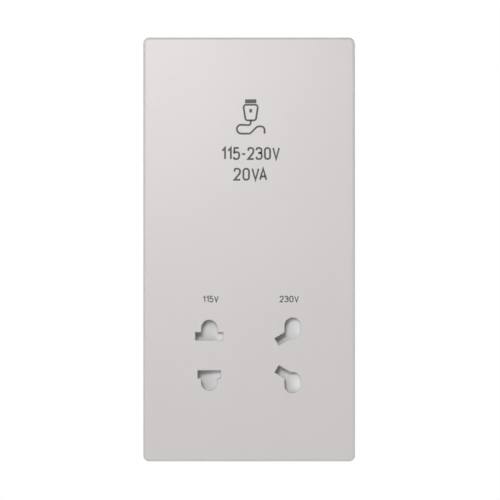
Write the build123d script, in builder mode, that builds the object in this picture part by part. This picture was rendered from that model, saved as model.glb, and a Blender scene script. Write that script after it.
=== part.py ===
from build123d import *
import math
import os

# Shaver socket with a 115 V and a 230 V outlet, in millimetres: a snap-on cover plate, a steel
# mounting yoke, a shuttered outlet section, and an isolating transformer in a rear housing.
# +Z is up, the front faces -Y, and the wall begins at Y = 0, the rear face of the yoke.
# The origin is the midpoint between the two box-fixing holes.

# Cover plate
plate_width = 70.4
plate_height = 141.0
plate_proud = 11.5
plate_wall = 2.2
plate_side_wall = 2.0
plate_corner_radius = 1.9
plate_edge_radius = 0.9
plate_wall_gap = 0.4
hole_edge_break = 0.2
rib_thickness = 1.0
rib_height = 2.4
rib_spacing = 40.0
rib_end_distance = 15.5
rib_outlet_distance = 24.2

# Clips that hold the cover on the yoke
clip_width = 7.0
clip_thickness = 1.6
clip_hook = 0.9
clip_nose = 1.5
clip_inset_x = 7.6
clip_inset_z = 6.9
clip_clearance = 0.3
catch_clearance = 0.1

# Pin holes, measured from each outlet's centre
outlet_edge_distance = 35.3
outlet_115_x = -13.3
outlet_230_x = 14.4
flat_pin_reach = 6.35
slot_upper_width = 9.2
slot_lower_width = 7.65
slot_height = 2.65
arch_width = 5.2
arch_reach = 11.75
oval_width = 5.2
oval_inner_reach = 5.5
oval_outer_reach = 12.55
blade_slot_height = 2.75
blade_slot_angle = 30.0
blade_slot_start_x = 5.25
blade_slot_start_z = 4.5
guide_hole_clearance = 0.1

# Mounting yoke
yoke_thickness = 1.5
yoke_corner_radius = 3.0
yoke_side_gap = 0.6
yoke_lip_length = 40.0
yoke_lip_height = 2.5
opening_side_bar = 8.6
opening_top_bar = 20.9
opening_bottom_bar = 17.4
opening_corner_radius = 4.0
box_fixing_inset = 7.6
box_fixing_radius = 2.1

# Socket body
deck_side_margin = 1.6
deck_end_margin = 11.9
deck_thickness = 1.6
deck_corner_radius = 3.0
chamber_wall = 1.2
chamber_side_room = 1.0
chamber_inner_reach = 4.1
chamber_end_room = 0.8
chamber_depth = 11.0
divider_wall = 1.6
frame_wall = 1.2
frame_tab_length = 3.0
frame_tab_spacing = 16.0
frame_tab_clearance = 0.1
rail_height = 3.4
guide_stem_width = 1.4
guide_stem_height = 1.0
guide_head_width = 3.0
guide_head_height = 0.9

# Shutters
shutter_lap = 0.45
shutter_open_clearance = 0.15
shutter_gap = 0.3
shutter_deck_gap = 0.2
shutter_stop_gap = 0.2
shutter_guide_clearance = 0.15
shutter_end_lap = 0.75
shutter_toe = 1.0
shutter_land = 0.6
shutter_skin = 1.1
shutter_bar_width = 5.2
shutter_bar_height = 3.1
cam_width = 3.0
cam_lead = 1.2
cam_rise_at_plunger = 0.6
plunger_travel = 1.0

# Shutter springs
spring_radius = 1.4
spring_wire_radius = 0.2
spring_turns = 6
spring_height = 3.6
spigot_length = 1.2
spigot_clearance = 0.2

# Microswitches
switch_length = 12.8
switch_height = 6.5
switch_depth = 5.8
switch_plunger_offset = 1.4
switch_hole_spacing = 6.5
switch_hole_radius = 1.05
switch_hole_rise = 3.4
switch_dowel_clearance = 0.1
dowel_fit_clearance = 0.02
dowel_boss_radius = 2.0
dowel_boss_depth = 3.0
switch_pin_length = 3.0
switch_pin_spacing = 5.08
switch_pin_width = 1.2
switch_pin_thickness = 0.6
plunger_width = 2.0
plunger_depth = 2.4
plunger_clearance = 0.12
plunger_free_height = 0.4
plunger_buried = 1.6
cam_clearance = 0.1

# Contacts and their retainer
contact_thickness = 0.5
contact_width = 4.4
contact_start_y = 1.4
contact_bump = 0.55
contact_bend_radius = 0.9
finger_width = 1.6
finger_start_y = 2.4
contact_tail_width = 3.2
contact_tail_length = 4.6
retainer_thickness = 1.4
retainer_margin = 0.6
retainer_corner_radius = 1.0
tail_slot_clearance = 0.3
stake_radius = 1.3
stake_spacing = 16.0
stake_head_radius = 2.1
stake_head_height = 0.9

# Isolating transformer
core_width = 54.0
core_height = 45.0
core_stack = 20.0
core_leg = 18.0
core_window_width = 9.0
core_window_height = 27.0
core_mid_y = 21.0
core_side_room = 2.2
core_top_room = 9.7
core_bottom_room = 6.7
core_hole_inset = 4.5
core_hole_radius = 1.75
bobbin_wall = 0.9
bobbin_clearance = 0.1
bobbin_flange = 1.0
bobbin_side_gap = 0.3
winding_side_room = 1.1
winding_corner_radius = 2.0
tape_thickness = 0.4
cutout_length = 17.0
cutout_width = 6.5
cutout_thickness = 4.2
cutout_corner_radius = 0.8
cutout_tab_length = 4.0
cutout_tab_width = 3.0
cutout_tab_thickness = 0.5

# Insulated leads inside the housing
lead_radius = 0.7
lead_bend = 2.4
lead_duct_gap = 1.3
lead_core_gap = 2.4
lead_level_gap = 3.0
lead_hole_clearance = 0.6
lead_pair_offset = 0.8
lead_deck_room = 3.5
lead_coil_room = 3.5
lead_coil_spacing = 10.0
lead_loop_height = 4.0
lead_loop_width = 6.1
lead_tail_gap = 1.0
lead_jog_height = 3.5

# Rear housing
housing_deep = 42.0
housing_shallow = 20.0
housing_wall = 1.8
housing_corner_radius = 3.0
housing_edge_radius = 1.5
housing_screw_inset_x = 3.4
housing_screw_inset_z = 3.0
boss_radius = 2.8
boss_height = 12.0
vent_width = 1.8
vent_pitch = 5.0
vent_count = 9
vent_length = 12.0
vent_end_distance = 13.0
vent_step_distance = 10.0
top_vent_length = 24.0
side_vent_count = 6

# Screws
screw_radius = 1.5
screw_clearance = 0.2
screw_head_radius = 2.5
screw_head_height = 1.9
screw_recess_width = 2.6
screw_recess_slot = 0.8
screw_recess_depth = 0.9
screw_pilot_clearance = 0.02
housing_screw_length = 12.0
core_screw_length = 26.0

# Mains terminals
block_width = 27.0
block_height = 13.0
block_depth = 11.0
block_edge_distance = 10.5
block_wall = 1.4
block_edge_radius = 0.6
block_screw_length = 13.0
block_screw_end_room = 1.0
block_boss_wall = 1.0
terminal_spacing = 15.0
cage_width = 6.6
cage_height = 8.0
cage_depth = 7.0
cage_clearance = 0.1
cage_base_wall = 0.8
wire_bore_radius = 2.0
terminal_screw_radius = 1.3
terminal_head_radius = 2.0
terminal_head_height = 1.6
terminal_tail_width = 4.0
terminal_tail_thickness = 0.8
terminal_tail_reach = 3.5

# Earth terminal on the yoke
earth_clip_gap = 0.5
earth_width = 8.0
earth_height = 7.0
earth_depth = 9.0
earth_bore_radius = 1.9
earth_bore_depth = 7.5
rivet_radius = 1.6
rivet_head_radius = 2.4
rivet_head_height = 0.7

# Levels along Y
cover_front_y = -plate_proud
cover_back_y = cover_front_y + plate_wall
yoke_front_y = -yoke_thickness
deck_front_y = yoke_front_y - deck_thickness
shutter_front_y = cover_back_y + shutter_gap
shutter_back_y = deck_front_y - shutter_deck_gap
shutter_toe_y = shutter_back_y - shutter_toe
spring_y = deck_front_y - spring_height
core_front_y = core_mid_y - core_stack / 2
core_rear_y = core_mid_y + core_stack / 2
block_rear_y = housing_shallow + block_depth

# Places across the plate
yoke_width = plate_width - 2 * (plate_side_wall + yoke_side_gap)
yoke_height = plate_height - 2 * (plate_side_wall + yoke_side_gap)
box_fixing_pitch = yoke_height - 2 * box_fixing_inset
clip_spacing_x = yoke_width - 2 * clip_inset_x
clip_spacing_z = yoke_height - 2 * clip_inset_z
deck_width = yoke_width - 2 * deck_side_margin
deck_height = yoke_height - 2 * deck_end_margin
housing_width = core_width + 2 * (core_side_room + housing_wall)
housing_height = deck_height
housing_screw_spacing_x = deck_width - 2 * housing_screw_inset_x
housing_screw_spacing_z = deck_height - 2 * housing_screw_inset_z
core_mid_z = housing_height / 2 - housing_wall - core_top_room - core_height / 2
housing_step_z = core_mid_z - core_height / 2 - core_bottom_room - housing_wall
block_mid_z = -housing_height / 2 + block_edge_distance
earth_x = clip_spacing_x / 2 - clip_width / 2 - earth_clip_gap - earth_width / 2
earth_z = -box_fixing_pitch / 2
outlet_z = -plate_height / 2 + outlet_edge_distance
blade_slot_rise = math.radians(blade_slot_angle)
holes_115_left = outlet_115_x - slot_upper_width / 2
holes_115_right = outlet_115_x + slot_upper_width / 2
holes_230_left = outlet_230_x - blade_slot_start_x - blade_slot_height / 2 * math.sin(blade_slot_rise)
holes_230_right = outlet_230_x + oval_width / 2
hole_reach = max(arch_reach, oval_outer_reach)
shutter_half_height = hole_reach + shutter_end_lap

# Each outlet's shutter: its edges at rest, its travel, and the place of its switch plunger
shutters = {}
for volts, left, right in (
    ("115", holes_115_left, holes_115_right),
    ("230", holes_230_left, holes_230_right),
):
    travel = right - left + shutter_lap + shutter_open_clearance
    shutters[volts] = {
        "left": left - shutter_lap,
        "right": right + shutter_lap,
        "travel": travel,
        "plunger_x": left - shutter_lap + travel + cam_lead,
        "cam_slope": plunger_travel / travel,
    }
divider_right = shutters["230"]["left"] - shutter_stop_gap
divider_left = divider_right - divider_wall
frame_left = shutters["115"]["left"] - shutter_stop_gap
frame_right = yoke_width / 2 - frame_wall
spring_seats = {"115": divider_left, "230": frame_right}
frame_tab_places = [
    (x, outlet_z + side * frame_tab_spacing / 2)
    for x in (frame_left - frame_wall / 2, divider_right - frame_wall / 2)
    for side in (-1, 1)
]

# The shutter frame's lower rail and height
rail_top = outlet_z - shutter_half_height - shutter_guide_clearance
frame_height = outlet_z + shutter_half_height - rail_top + frame_wall
frame_mid_z = rail_top - frame_wall + frame_height / 2

# Heights of the switches above the shutters
cam_z = outlet_z + shutter_half_height + cam_rise_at_plunger
tip_radius = plunger_width / 2
for shutter in shutters.values():
    tip_lift = (tip_radius + cam_clearance) / math.cos(math.atan(shutter["cam_slope"]))
    shutter["tip_z"] = cam_z + tip_lift
    shutter["case_z"] = shutter["tip_z"] - tip_radius + plunger_travel + plunger_free_height
dowel_radius = switch_hole_radius - switch_dowel_clearance
dowel_places = [
    (
        shutter["plunger_x"] - switch_plunger_offset + side * switch_hole_spacing / 2,
        shutter["case_z"] + switch_hole_rise,
    )
    for shutter in shutters.values()
    for side in (-1, 1)
]

# Where the leads run: levels below the core, ducts before and behind, and their holes in the deck
switch_pin_y = deck_front_y - switch_depth / 2
switch_pins = {
    volts: (
        shutter["plunger_x"] - switch_plunger_offset,
        shutter["case_z"] + switch_height + switch_pin_length,
    )
    for volts, shutter in shutters.items()
}
upper_level_z = core_mid_z - core_height / 2 - lead_core_gap - lead_radius
middle_level_z = upper_level_z - lead_level_gap
lower_level_z = middle_level_z - lead_level_gap
mains_duct_y = housing_shallow - housing_wall - lead_duct_gap - lead_radius
contact_duct_y = chamber_depth + retainer_thickness + lead_duct_gap + lead_radius
link_z = -housing_height / 2 + housing_wall + lead_duct_gap + lead_radius
lead_holes = [
    (switch_pins["115"][0], middle_level_z),
    (switch_pins["230"][0], middle_level_z),
    (switch_pins["230"][0] - switch_pin_spacing, upper_level_z),
]


def facing_front(y):
    """Plane parallel to the wall at the given Y, drawn as seen from the front."""
    return Plane.XZ.offset(-y)


def facing_side(x):
    """Plane across the object at the given X, drawn with Y to the right and Z up."""
    return Plane.YZ.offset(x)


def draw_115_hole(side, slot_width, grow):
    """Flat pin slot with a round-topped arch for round pins. side is 1 above and -1 below."""
    arch_radius = arch_width / 2
    arch_mid = (flat_pin_reach + arch_reach - arch_radius) / 2
    with Locations((outlet_115_x, outlet_z + side * flat_pin_reach)):
        Rectangle(slot_width + 2 * grow, slot_height + 2 * grow)
    with Locations((outlet_115_x, outlet_z + side * arch_mid)):
        Rectangle(arch_width + 2 * grow, arch_reach - arch_radius - flat_pin_reach)
    with Locations((outlet_115_x, outlet_z + side * (arch_reach - arch_radius))):
        Circle(arch_radius + grow)


def draw_230_hole(side, grow):
    """Upright oval for round pins with a slanted slot for a flat blade."""
    oval_mid = (oval_inner_reach + oval_outer_reach) / 2
    slot_run = blade_slot_start_x / math.cos(blade_slot_rise)
    slot_mid_z = blade_slot_start_z + blade_slot_start_x * math.tan(blade_slot_rise) / 2
    with Locations((outlet_230_x, outlet_z + side * oval_mid)):
        SlotOverall(
            oval_outer_reach - oval_inner_reach + 2 * grow, oval_width + 2 * grow, rotation=90
        )
    with Locations((outlet_230_x - blade_slot_start_x / 2, outlet_z + side * slot_mid_z)):
        Rectangle(
            slot_run + 2 * grow, blade_slot_height + 2 * grow, rotation=side * blade_slot_angle
        )


def draw_pin_holes(grow=0.0):
    """All four pin holes."""
    draw_115_hole(1, slot_upper_width, grow)
    draw_115_hole(-1, slot_lower_width, grow)
    draw_230_hole(1, grow)
    draw_230_hole(-1, grow)


def draw_recess():
    """Cross recess of a screw head."""
    Rectangle(screw_recess_width, screw_recess_slot)
    Rectangle(screw_recess_slot, screw_recess_width)


os.makedirs("parts", exist_ok=True)

# Cover plate: a shallow moulded tray with softened front edges
with BuildPart() as cover_plate:
    with BuildSketch(facing_front(-plate_wall_gap)):
        RectangleRounded(plate_width, plate_height, plate_corner_radius)
    extrude(amount=plate_proud - plate_wall_gap)
    fillet(cover_plate.faces().sort_by(Axis.Y)[0].edges(), min(plate_edge_radius, plate_wall * 0.9))
    with BuildSketch(facing_front(-plate_wall_gap)):
        Rectangle(plate_width - 2 * plate_side_wall, plate_height - 2 * plate_side_wall)
    extrude(amount=-cover_back_y - plate_wall_gap, mode=Mode.SUBTRACT)

    # Stiffening ribs behind the blank upper part
    rib_top_z = plate_height / 2 - rib_end_distance
    rib_bottom_z = outlet_z + rib_outlet_distance
    rib_length = rib_top_z - rib_bottom_z
    rib_mid_z = (rib_top_z + rib_bottom_z) / 2
    with BuildSketch(facing_front(cover_back_y)):
        with Locations((-rib_spacing / 2, rib_mid_z), (rib_spacing / 2, rib_mid_z)):
            Rectangle(rib_thickness, rib_length)
        with Locations(
            (0, rib_mid_z - rib_length / 2), (0, rib_mid_z), (0, rib_mid_z + rib_length / 2)
        ):
            Rectangle(rib_spacing + rib_thickness, rib_thickness)
    extrude(amount=-rib_height)

    # Pin holes, their front edges slightly broken
    with BuildSketch(facing_front(cover_back_y)):
        draw_pin_holes()
    extrude(amount=plate_wall, mode=Mode.SUBTRACT)
    front_face = cover_plate.faces().sort_by(Axis.Y)[0]
    chamfer(front_face.inner_wires().edges(), hole_edge_break)

    # Clips that snap behind the yoke, hooks outwards
    for side in (-1, 1):
        arm_inner = side * (clip_spacing_z / 2 - clip_thickness / 2)
        arm_outer = side * (clip_spacing_z / 2 + clip_thickness / 2)
        hook_outer = arm_outer + side * clip_hook
        for x in (-clip_spacing_x / 2, clip_spacing_x / 2):
            with BuildSketch(facing_side(x - clip_width / 2)):
                with BuildLine():
                    Polyline(
                        (cover_back_y, arm_inner),
                        (catch_clearance + clip_nose, arm_inner),
                        (catch_clearance + clip_nose, arm_outer),
                        (catch_clearance, hook_outer),
                        (catch_clearance, arm_outer),
                        (cover_back_y, arm_outer),
                        close=True,
                    )
                make_face()
            extrude(amount=clip_width)

# Mounting yoke: pressed steel plate with bent end lips
with BuildPart() as mounting_yoke:
    opening_top = yoke_height / 2 - opening_top_bar
    opening_bottom = -yoke_height / 2 + opening_bottom_bar
    opening_mid_z = (opening_top + opening_bottom) / 2
    with BuildSketch(facing_front(0)):
        RectangleRounded(yoke_width, yoke_height, yoke_corner_radius)
        with Locations((0, opening_mid_z)):
            RectangleRounded(
                yoke_width - 2 * opening_side_bar,
                opening_top - opening_bottom,
                opening_corner_radius,
                mode=Mode.SUBTRACT,
            )
        with Locations((0, -box_fixing_pitch / 2), (0, box_fixing_pitch / 2)):
            Circle(box_fixing_radius, mode=Mode.SUBTRACT)
        with GridLocations(housing_screw_spacing_x, housing_screw_spacing_z, 2, 2):
            Circle(screw_radius + screw_clearance, mode=Mode.SUBTRACT)
        with GridLocations(clip_spacing_x, clip_spacing_z, 2, 2):
            Rectangle(
                clip_width + 2 * clip_clearance,
                clip_thickness + 2 * clip_clearance,
                mode=Mode.SUBTRACT,
            )
        with Locations((earth_x, earth_z)):
            Circle(rivet_radius, mode=Mode.SUBTRACT)
    extrude(amount=yoke_thickness)
    with BuildSketch(facing_front(0)):
        for side in (-1, 1):
            with Locations((0, side * (yoke_height / 2 - yoke_thickness / 2))):
                Rectangle(yoke_lip_length, yoke_thickness)
    extrude(amount=yoke_thickness + yoke_lip_height)

# Socket body: deck over the yoke, pin guides and contact chambers
with BuildPart() as socket_body:
    with BuildSketch(facing_front(yoke_front_y)):
        RectangleRounded(deck_width, deck_height, deck_corner_radius)
        with Locations(((frame_right + frame_wall) / 2, frame_mid_z)):
            Rectangle(frame_right + frame_wall, frame_height)
    extrude(amount=deck_thickness)

    # Contact chambers behind the deck
    chamber_outer_reach = hole_reach + chamber_end_room + chamber_wall
    chambers = {}
    for volts, left, right in (
        ("115", holes_115_left, holes_115_right),
        ("230", holes_230_left, holes_230_right),
    ):
        inner_left = left - chamber_side_room
        inner_right = right + chamber_side_room
        chambers[volts] = (inner_left, inner_right)
        inner_height = hole_reach + chamber_end_room - chamber_inner_reach
        inner_mid_z = chamber_inner_reach + inner_height / 2
        with BuildSketch(facing_front(yoke_front_y)):
            with Locations(((inner_left + inner_right) / 2, outlet_z)):
                Rectangle(inner_right - inner_left + 2 * chamber_wall, 2 * chamber_outer_reach)
            for side in (-1, 1):
                with Locations(((inner_left + inner_right) / 2, outlet_z + side * inner_mid_z)):
                    Rectangle(inner_right - inner_left, inner_height, mode=Mode.SUBTRACT)
        extrude(amount=yoke_front_y - chamber_depth)

    # Pin guides through the deck
    with BuildSketch(facing_front(yoke_front_y)):
        draw_pin_holes(guide_hole_clearance)
    extrude(amount=deck_thickness, mode=Mode.SUBTRACT)

    # Slots for the shutter frame's tabs
    with BuildSketch(facing_front(yoke_front_y)):
        with Locations(*frame_tab_places):
            Rectangle(
                frame_wall + 2 * frame_tab_clearance, frame_tab_length + 2 * frame_tab_clearance
            )
    extrude(amount=deck_thickness, mode=Mode.SUBTRACT)

    # Bosses behind the deck for the microswitches' dowels
    with BuildSketch(facing_front(yoke_front_y)):
        with Locations(*dowel_places):
            Circle(dowel_boss_radius)
    extrude(amount=-dowel_boss_depth)
    with BuildSketch(facing_front(deck_front_y)):
        with Locations(*dowel_places):
            Circle(dowel_radius + dowel_fit_clearance)
    extrude(amount=-(deck_thickness + dowel_boss_depth), mode=Mode.SUBTRACT)

    # Clearance holes for the housing screws and holes for the leads
    with BuildSketch(facing_front(yoke_front_y)):
        with GridLocations(housing_screw_spacing_x, housing_screw_spacing_z, 2, 2):
            Circle(screw_radius + screw_clearance)
        with Locations(*lead_holes):
            Circle(lead_radius + lead_hole_clearance)
    extrude(amount=deck_thickness, mode=Mode.SUBTRACT)

    # Stakes that hold the contact retainer
    stake_x = (chambers["115"][1] + chambers["230"][0]) / 2
    with BuildSketch(facing_front(yoke_front_y)):
        with Locations((stake_x, outlet_z)):
            with GridLocations(1, stake_spacing, 1, 2):
                Circle(stake_head_radius)
    extrude(amount=yoke_front_y - chamber_depth)
    with BuildSketch(facing_front(chamber_depth)):
        with Locations((stake_x, outlet_z)):
            with GridLocations(1, stake_spacing, 1, 2):
                Circle(stake_radius)
    extrude(amount=-retainer_thickness)
    with BuildSketch(facing_front(chamber_depth + retainer_thickness)):
        with Locations((stake_x, outlet_z)):
            with GridLocations(1, stake_spacing, 1, 2):
                Circle(stake_head_radius)
    extrude(amount=-stake_head_height, taper=25)

# Shutter frame on the deck: stops, guide rails and spring seats in one moulding
with BuildPart() as shutter_frame:
    # Stop walls left and right, and the divider between the shutters
    with BuildSketch(facing_front(deck_front_y)):
        for wall_left, wall_right in (
            (frame_left - frame_wall, frame_left),
            (divider_left, divider_right),
            (frame_right, frame_right + frame_wall),
        ):
            with Locations(((wall_left + wall_right) / 2, frame_mid_z)):
                Rectangle(wall_right - wall_left, frame_height)
    extrude(amount=deck_front_y - shutter_front_y)

    # Rail under the shutters' lower edges
    with BuildSketch(facing_front(deck_front_y)):
        with Locations(((frame_left - frame_wall + frame_right) / 2, rail_top - frame_wall / 2)):
            Rectangle(frame_right - frame_left + frame_wall, frame_wall)
    extrude(amount=rail_height)

    # T-shaped guide rail behind each shutter
    for rail_start, rail_end in ((frame_left, divider_left), (divider_right, frame_right)):
        with BuildSketch(facing_side(rail_start)):
            with Locations((deck_front_y - guide_stem_height / 2, outlet_z)):
                Rectangle(guide_stem_height, guide_stem_width)
            with Locations(
                (deck_front_y - guide_stem_height - guide_head_height / 2, outlet_z)
            ):
                Rectangle(guide_head_height, guide_head_width)
        extrude(amount=rail_end - rail_start)

    # Spigots that centre the springs
    for seat in spring_seats.values():
        with BuildSketch(facing_side(seat)):
            with Locations((spring_y, outlet_z)):
                Circle(spring_radius - spring_wire_radius - spigot_clearance)
        extrude(amount=-spigot_length)

    # Tabs that hold the frame in the deck
    with BuildSketch(facing_front(deck_front_y)):
        with Locations(*frame_tab_places):
            Rectangle(frame_wall, frame_tab_length)
    extrude(amount=-deck_thickness)

# Contact retainer: moulded plate that closes the chambers behind the contacts
contact_z = chamber_inner_reach + contact_thickness
contact_top_z = hole_reach + chamber_end_room - contact_thickness / 2
tail_z = (contact_z + contact_top_z) / 2
contact_places = {
    "contact_115_upper": ("115", outlet_115_x, 1),
    "contact_115_lower": ("115", outlet_115_x, -1),
    "contact_230_upper": ("230", outlet_230_x, 1),
    "contact_230_lower": ("230", outlet_230_x, -1),
}
with BuildPart() as contact_retainer:
    plate_left = chambers["115"][0] - chamber_wall - retainer_margin
    plate_right = chambers["230"][1] + chamber_wall + retainer_margin
    with BuildSketch(facing_front(chamber_depth)):
        with Locations(((plate_left + plate_right) / 2, outlet_z)):
            RectangleRounded(
                plate_right - plate_left,
                2 * (chamber_outer_reach + retainer_margin),
                retainer_corner_radius,
            )
        for volts, x, side in contact_places.values():
            with Locations((x, outlet_z + side * tail_z)):
                Rectangle(
                    contact_tail_width + 2 * tail_slot_clearance,
                    contact_thickness + 2 * tail_slot_clearance,
                    mode=Mode.SUBTRACT,
                )
        with Locations((stake_x, outlet_z)):
            with GridLocations(1, stake_spacing, 1, 2):
                Circle(stake_radius, mode=Mode.SUBTRACT)
    extrude(amount=-retainer_thickness)

# Contacts: a sprung bronze clip for round pins, with fingers beside it for flat pins
contacts = {}
for node, (volts, x, side) in contact_places.items():
    rear_y = chamber_depth - contact_thickness / 2
    with BuildPart() as contact:
        with BuildSketch(facing_side(x - contact_width / 2)):
            with BuildLine():
                leaf_mid_y = (contact_start_y + rear_y) / 2
                FilletPolyline(
                    (contact_start_y, outlet_z + side * contact_z),
                    (leaf_mid_y, outlet_z + side * (contact_z + contact_bump)),
                    (rear_y, outlet_z + side * contact_z),
                    (rear_y, outlet_z + side * contact_top_z),
                    (leaf_mid_y, outlet_z + side * (contact_top_z - 2 * contact_bump)),
                    (contact_start_y, outlet_z + side * contact_top_z),
                    radius=contact_bend_radius,
                )
            trace(line_width=contact_thickness)
        extrude(amount=contact_width)

        # Flat pin fingers on a cross bar
        with BuildSketch(facing_front(chamber_depth)):
            if volts == "115":
                with Locations((x, outlet_z + side * flat_pin_reach)):
                    Rectangle(slot_lower_width, slot_height)
            else:
                with Locations((x - blade_slot_start_x / 2, outlet_z + side * flat_pin_reach)):
                    Rectangle(blade_slot_start_x + contact_width / 2, slot_height)
        extrude(amount=contact_thickness)
        with BuildSketch(facing_front(chamber_depth - contact_thickness)):
            if volts == "115":
                finger_x = slot_lower_width / 2 - finger_width / 2
                for level in (-1, 1):
                    finger_z = flat_pin_reach + level * (slot_height - contact_thickness) / 2
                    with Locations(
                        (x - finger_x, outlet_z + side * finger_z),
                        (x + finger_x, outlet_z + side * finger_z),
                    ):
                        Rectangle(finger_width, contact_thickness)
            else:
                with Locations((x - blade_slot_start_x * 0.8, outlet_z + side * flat_pin_reach)):
                    Rectangle(
                        2 * finger_width, contact_thickness, rotation=side * blade_slot_angle
                    )
        extrude(amount=chamber_depth - contact_thickness - finger_start_y)

        # Tail for the lead
        with BuildSketch(facing_front(chamber_depth)):
            with Locations((x, outlet_z + side * tail_z)):
                Rectangle(contact_tail_width, contact_thickness)
        extrude(amount=-contact_tail_length)
    contacts[node] = contact

# Shutters: hollow-backed wedges that a pair of pins drives sideways
shutter_parts = {}
for volts, shutter in shutters.items():
    left = shutter["left"]
    right = shutter["right"]
    ramp_run = right - shutter_land - left
    ramp_slope = (shutter_toe_y - shutter_front_y) / ramp_run
    skin_depth = shutter_skin * math.sqrt(1 + ramp_slope**2)
    pocket_left = left + (shutter_toe_y + skin_depth - shutter_back_y) / ramp_slope
    pocket_right = right - shutter_skin
    with BuildPart() as shutter_body:
        with BuildSketch(Plane.XY.offset(outlet_z - shutter_half_height)):
            with BuildLine():
                Polyline(
                    (left, shutter_back_y),
                    (left, shutter_toe_y),
                    (right - shutter_land, shutter_front_y),
                    (right, shutter_front_y),
                    (right, shutter_back_y),
                    close=True,
                )
            make_face()
        extrude(amount=2 * shutter_half_height)

        # Hollows behind the ramp, above and below the middle bar
        for side in (-1, 1):
            inner_z = outlet_z + side * shutter_bar_width / 2
            hollow_height = shutter_half_height - shutter_bar_width / 2 - shutter_skin
            ramp_at_right = shutter_toe_y + skin_depth - ramp_slope * (pocket_right - left)
            with BuildSketch(Plane.XY.offset(inner_z)):
                with BuildLine():
                    Polyline(
                        (pocket_left, shutter_back_y),
                        (pocket_right, ramp_at_right),
                        (pocket_right, shutter_back_y),
                        close=True,
                    )
                make_face()
            extrude(amount=side * hollow_height, mode=Mode.SUBTRACT)

        # Middle bar with the T-shaped guide groove
        with BuildSketch(facing_side(left)):
            with Locations((shutter_back_y - shutter_bar_height / 2, outlet_z)):
                Rectangle(shutter_bar_height, shutter_bar_width)
        extrude(amount=right - left)
        groove_neck = deck_front_y - guide_stem_height + shutter_guide_clearance
        groove_top = (
            deck_front_y - guide_stem_height - guide_head_height - shutter_guide_clearance
        )
        with BuildSketch(facing_side(left)):
            with Locations(((shutter_back_y + groove_top) / 2, outlet_z)):
                Rectangle(
                    shutter_back_y - groove_top, guide_stem_width + 2 * shutter_guide_clearance
                )
            with Locations(((groove_neck + groove_top) / 2, outlet_z)):
                Rectangle(
                    groove_neck - groove_top, guide_head_width + 2 * shutter_guide_clearance
                )
        extrude(amount=right - left, mode=Mode.SUBTRACT)

        # Cam along the upper edge, which presses the switch plunger
        cam_left_z = cam_z + (shutter["plunger_x"] - left) * shutter["cam_slope"]
        cam_right = shutter["plunger_x"] + cam_lead
        cam_right_z = cam_z - cam_lead * shutter["cam_slope"]
        with BuildSketch(facing_front(shutter_back_y)):
            with BuildLine():
                Polyline(
                    (left, outlet_z + shutter_half_height - shutter_skin),
                    (right, outlet_z + shutter_half_height - shutter_skin),
                    (right, outlet_z + shutter_half_height),
                    (cam_right, outlet_z + shutter_half_height),
                    (cam_right, cam_right_z),
                    (left, cam_left_z),
                    close=True,
                )
            make_face()
        extrude(amount=min(cam_width, shutter_toe))
        with BuildSketch(facing_front(shutter_back_y)):
            with BuildLine():
                Polyline(
                    (left, outlet_z + shutter_half_height),
                    (cam_right, outlet_z + shutter_half_height),
                    (cam_right, cam_right_z),
                    (left, cam_left_z),
                    close=True,
                )
            make_face()
        extrude(amount=cam_width)

        # Spigot for the spring
        with BuildSketch(facing_side(right)):
            with Locations((spring_y, outlet_z)):
                Circle(spring_radius - spring_wire_radius - spigot_clearance)
        extrude(amount=spigot_length)
    shutter_parts[volts] = shutter_body

# Return springs, from each shutter's right edge to its seat
springs = {}
for volts, shutter in shutters.items():
    spring_length = spring_seats[volts] - shutter["right"] - 2 * spring_wire_radius
    spring_start = (shutter["right"] + spring_wire_radius, spring_y, outlet_z)
    with BuildPart() as spring:
        with BuildLine():
            coil = Helix(
                pitch=spring_length / spring_turns,
                height=spring_length,
                radius=spring_radius,
                center=spring_start,
                direction=(1, 0, 0),
            )
        with BuildSketch(Plane(origin=coil @ 0, z_dir=coil % 0)):
            Circle(spring_wire_radius)
        sweep(is_frenet=True)
    springs[volts] = spring

# Microswitches and their plungers
switches = {}
plungers = {}
for volts, shutter in shutters.items():
    case_mid_x = shutter["plunger_x"] - switch_plunger_offset
    case_mid_z = shutter["case_z"] + switch_height / 2
    with BuildPart() as switch_body:
        with BuildSketch(facing_front(deck_front_y)):
            with Locations((case_mid_x, case_mid_z)):
                Rectangle(switch_length, switch_height)
            with Locations((case_mid_x, shutter["case_z"] + switch_hole_rise)):
                with GridLocations(switch_hole_spacing, 1, 2, 1):
                    Circle(switch_hole_radius, mode=Mode.SUBTRACT)
        extrude(amount=switch_depth)
        with BuildSketch(facing_front(deck_front_y - switch_depth / 2 + switch_pin_thickness / 2)):
            with Locations(
                (case_mid_x, shutter["case_z"] + switch_height + switch_pin_length / 2)
            ):
                with GridLocations(switch_pin_spacing, 1, 3, 1):
                    Rectangle(switch_pin_width, switch_pin_length)
        extrude(amount=switch_pin_thickness)
        pocket_depth = plunger_travel + plunger_buried + plunger_clearance
        with BuildSketch(Plane.XY.offset(shutter["case_z"])):
            with Locations((shutter["plunger_x"], deck_front_y - switch_depth / 2)):
                Rectangle(
                    plunger_width + 2 * plunger_clearance, plunger_depth + 2 * plunger_clearance
                )
        extrude(amount=pocket_depth, mode=Mode.SUBTRACT)
    switches[volts] = switch_body

    with BuildPart() as plunger:
        stem_top = shutter["case_z"] + plunger_buried
        with BuildSketch(facing_front(deck_front_y - switch_depth / 2 + plunger_depth / 2)):
            with Locations((shutter["plunger_x"], (shutter["tip_z"] + stem_top) / 2)):
                Rectangle(plunger_width, stem_top - shutter["tip_z"])
            with Locations((shutter["plunger_x"], shutter["tip_z"])):
                Circle(tip_radius)
        extrude(amount=plunger_depth)
    plungers[volts] = plunger

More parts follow.
